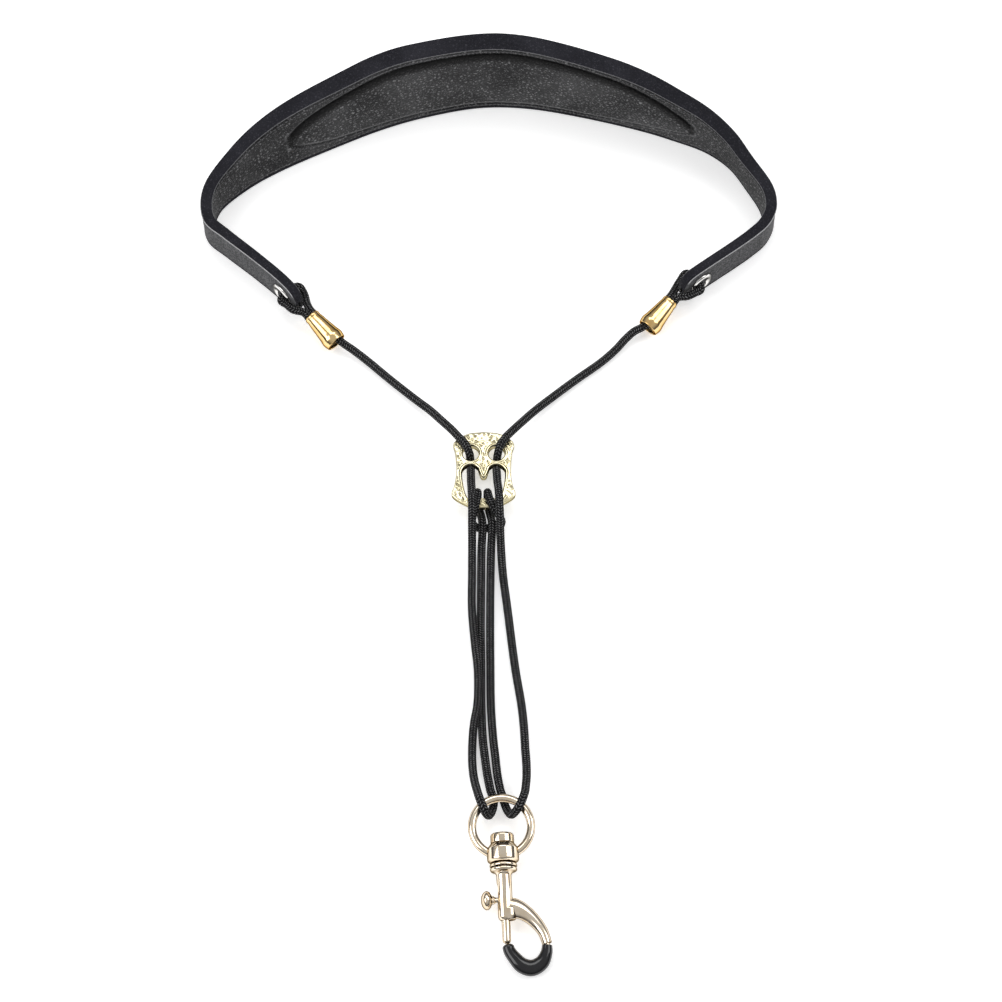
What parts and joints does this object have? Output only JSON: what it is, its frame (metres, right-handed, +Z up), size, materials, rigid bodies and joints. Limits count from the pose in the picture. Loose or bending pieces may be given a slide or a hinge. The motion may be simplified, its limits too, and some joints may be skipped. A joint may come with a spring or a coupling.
{
  "type": "saxophone neck strap",
  "caption": "Padded leather neck band with bell-ended cord loops, a running cord through a slider plate, and a sprung swivel snap hook.",
  "frame": {"origin": "middle of the footprint of everything but the cords, on the table it lies on", "axes": "+Z up from the table, +Y from the hook to the neck band's back, +X to the right seen from the hook's end"},
  "size_m": [0.2116, 0.3478, 0.039],
  "materials": {
    "leather": "black pebbled leather, satin",
    "lining": "black pebbled leather, matt",
    "fibre": "stiff fibre sheet, matt",
    "foam": "soft foam, matt",
    "nickel": "nickel plated, polished",
    "gold": "gold plated, polished",
    "pale_gold": "pale gold plate, textured",
    "champagne": "light champagne gold plate, polished",
    "steel": "drawn spring steel",
    "braid": "black braided cord with light flecks",
    "dip": "black dipped coating, glossy"
  },
  "bodies": {
    "neck_band": {"outer_leather": "leather", "inner_leather": "lining", "band_core": "fibre", "pad_foam": "foam", "eyelet_left": "nickel", "eyelet_right": "nickel", "eyelet_washer_left": "nickel", "eyelet_washer_right": "nickel", "bell_left": "gold", "bell_right": "gold", "cord_loop_left": "braid", "cord_loop_right": "braid", "cord_upper_left": "braid", "cord_upper_right": "braid"},
    "slider": {"slider_plate": "pale_gold", "cord_weave_left": "braid", "cord_weave_right": "braid", "cord_hitch": "braid", "cord_outer_left": "braid", "cord_outer_right": "braid", "cord_inner_left": "braid", "cord_inner_right": "braid"},
    "eye": {"swivel_eye": "champagne", "cord_ring_left": "braid", "cord_ring_right": "braid"},
    "hook": {"swivel_rivet": "champagne", "swivel_washer": "champagne", "hook_body": "champagne", "hook_coating": "dip", "bolt_spring": "steel"},
    "bolt": {"bolt": "champagne", "thumb_knob": "champagne"}
  },
  "joints": [
    {"name": "slider_slide", "type": "slide", "parent": "neck_band", "child": "slider", "axis": [0, -1, 0], "range_m": [-0.02, 0.08], "deforming": ["cord_upper_left", "cord_upper_right"]},
    {"name": "eye_slide", "type": "slide", "parent": "slider", "child": "eye", "axis": [0, -1, 0], "range_m": [-0.035, 0.01], "deforming": ["cord_outer_left", "cord_outer_right", "cord_inner_left", "cord_inner_right"]},
    {"name": "hook_swivel", "type": "hinge", "parent": "eye", "child": "hook", "pos_m": [0.00483, -0.12319, 0.0065], "axis": [0.0452, -0.9955, -0.0837], "continuous": true},
    {"name": "bolt_slide", "type": "slide", "parent": "hook", "child": "bolt", "axis": [-0.0452, 0.9955, 0.0837], "range_m": [0, 0.0046], "stiffness_N_per_m": 300, "springref_m": -0.006, "deforming": ["bolt_spring"]}
  ],
  "couplings": [
    {"joint": "eye_slide", "follows": "slider_slide", "ratio": -0.4}
  ]
}
